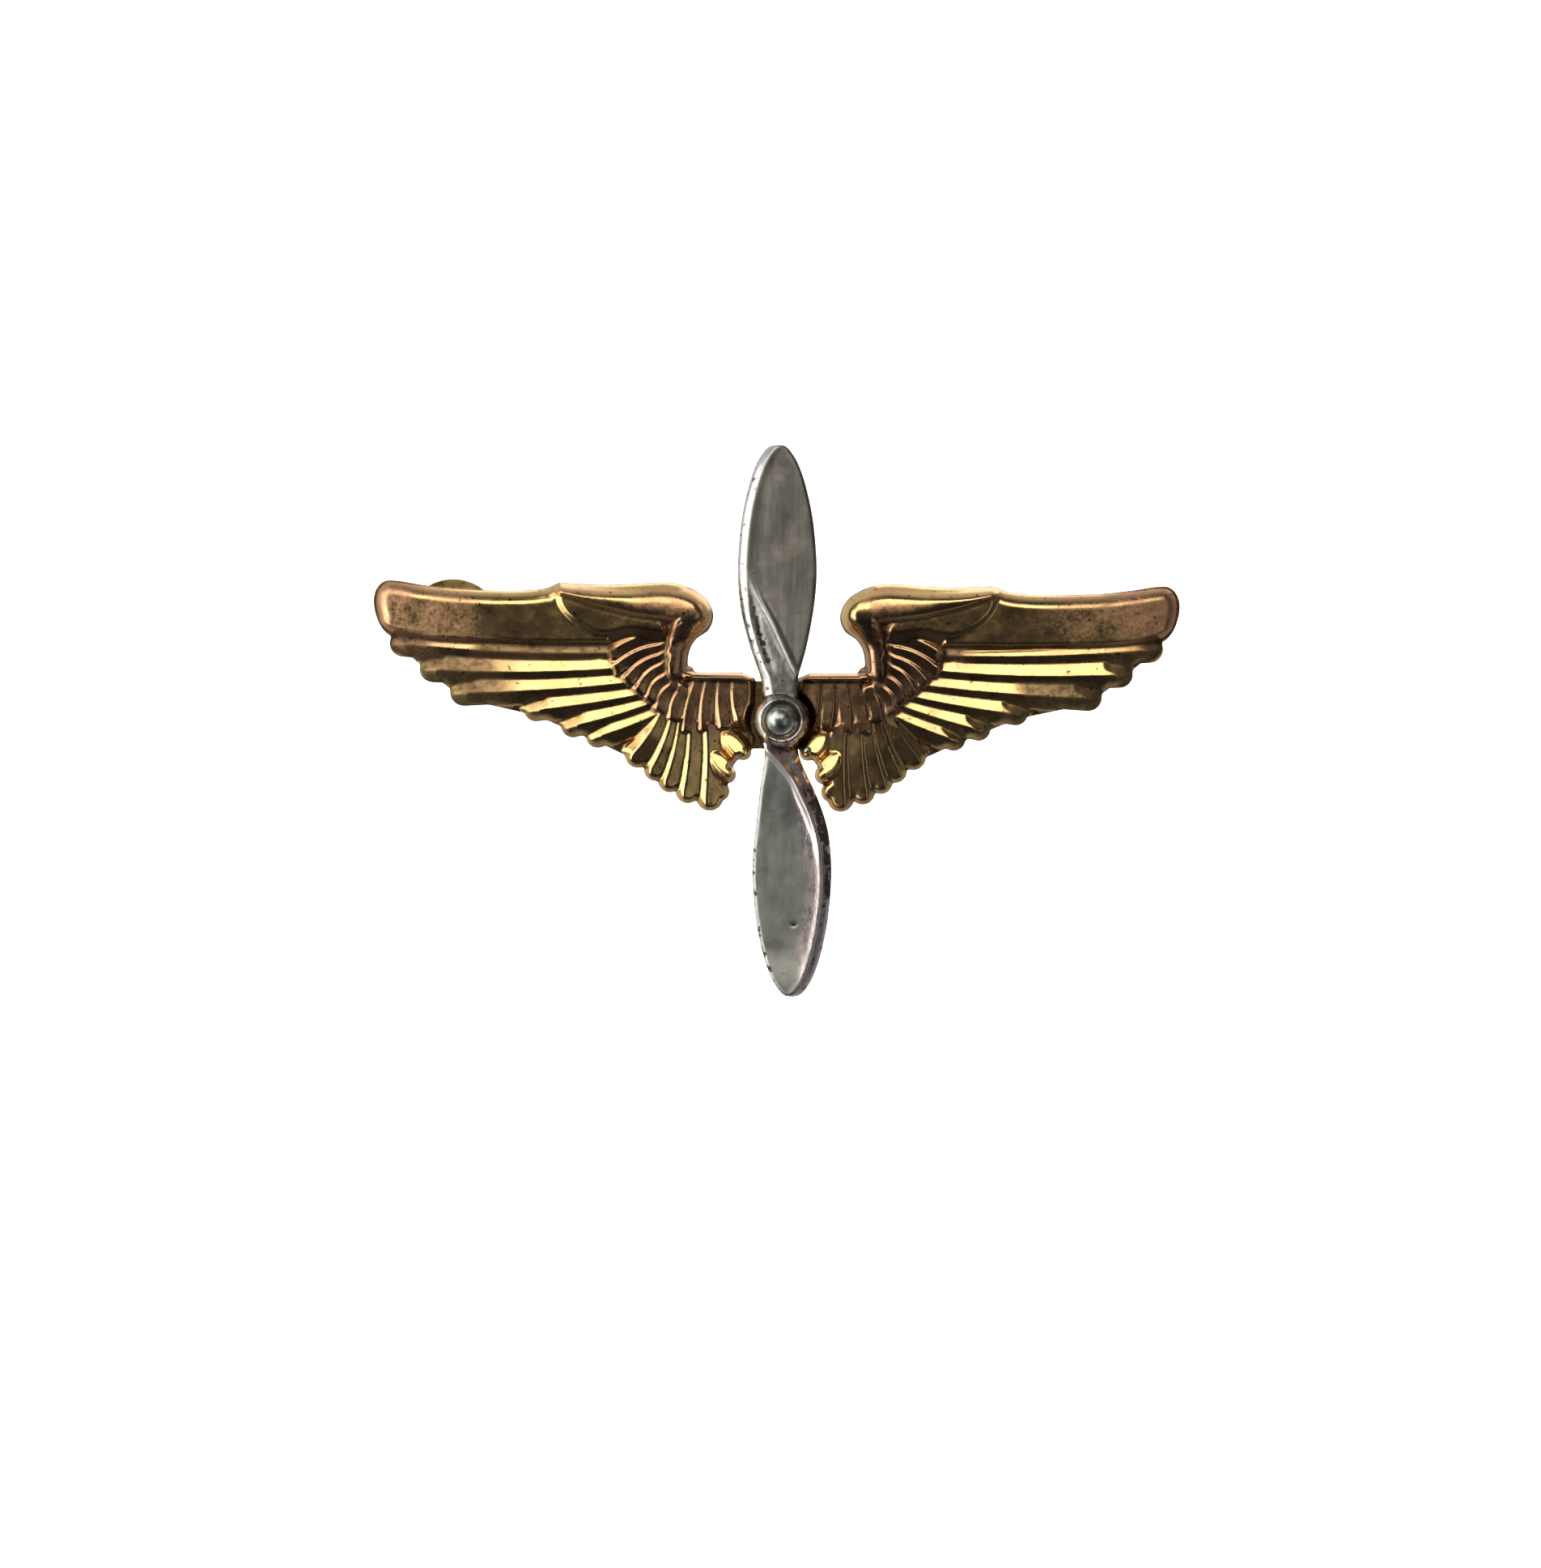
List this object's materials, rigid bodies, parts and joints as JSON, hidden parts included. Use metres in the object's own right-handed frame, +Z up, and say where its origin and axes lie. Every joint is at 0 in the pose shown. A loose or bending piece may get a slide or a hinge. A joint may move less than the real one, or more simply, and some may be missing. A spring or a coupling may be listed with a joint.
{
  "type": "pilot wings pin",
  "caption": "Winged-propeller collar pin: gilt relief wings under a twisted silver propeller, with a hinged pin wire and a turning safety catch on the back.",
  "frame": {"origin": "the point where the pin wire's axis crosses the badge's vertical centre plane", "axes": "+X to the viewer's right along the wings, +Z up as worn, the front faces -Y and the pin is on the +Y side"},
  "size_m": [0.0286, 0.0048, 0.0196],
  "materials": {
    "gilt_brass": "die-struck gilt brass, tarnished in the grooves and coppery at the tips",
    "silver_plate": "dulled silver plate with pitted dark edges",
    "findings_brass": "plain brass findings, dull",
    "wire_steel": "drawn nickel-silver wire, satin"
  },
  "bodies": {
    "badge": {"wings_plate": "gilt_brass", "propeller": "silver_plate", "hub_rivet": "silver_plate", "rivet_burr": "findings_brass", "solder_bead": "silver_plate", "hinge_pad": "gilt_brass", "hinge_bracket": "findings_brass", "hinge_pin": "wire_steel", "catch_pad": "gilt_brass", "catch_housing": "findings_brass"},
    "stem": {"stem_knuckle": "findings_brass", "pin_wire": "wire_steel"},
    "rotor": {"catch_rotor": "findings_brass"}
  },
  "joints": [
    {"name": "pin_swing", "type": "hinge", "parent": "badge", "child": "stem", "pos_m": [-0.01151, 0, 0.00146], "axis": [0.1262, 0, 0.992], "range_deg": [0, 105]},
    {"name": "catch_turn", "type": "hinge", "parent": "badge", "child": "rotor", "pos_m": [0.00496, 0, -0.00063], "axis": [0.992, 0, -0.1262], "range_deg": [0, 80]}
  ]
}
